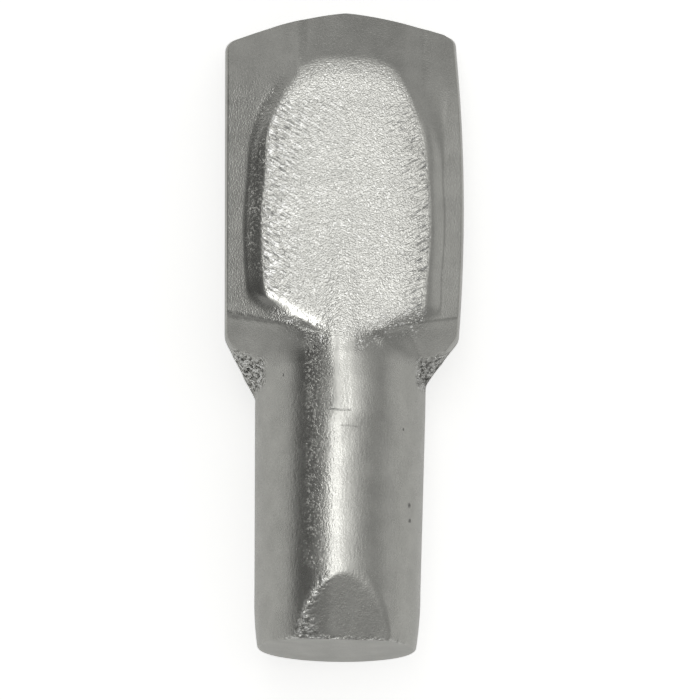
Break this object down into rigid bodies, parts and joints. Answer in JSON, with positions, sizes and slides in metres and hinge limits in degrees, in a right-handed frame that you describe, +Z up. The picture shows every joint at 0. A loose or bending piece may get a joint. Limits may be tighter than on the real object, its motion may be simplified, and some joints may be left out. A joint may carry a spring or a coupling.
{
  "type": "shelf support pin",
  "caption": "Spoon-pattern shelf support pin, cold forged in one piece from plated steel wire: a 4.9 mm round peg and a flattened paddle with a raised tongue and a flat bearing side.",
  "frame": {"origin": "centre of the bounding box in plan, on the surface that the pin lies on", "axes": "+Y points from the peg to the tip of the paddle, +Z is up with the tongue on top, +X is to the right seen from above"},
  "size_m": [0.007, 0.019, 0.0059],
  "materials": {
    "plated_steel": "satin"
  },
  "bodies": {
    "root": {"shelf_pin": "plated_steel"}
  },
  "joints": []
}
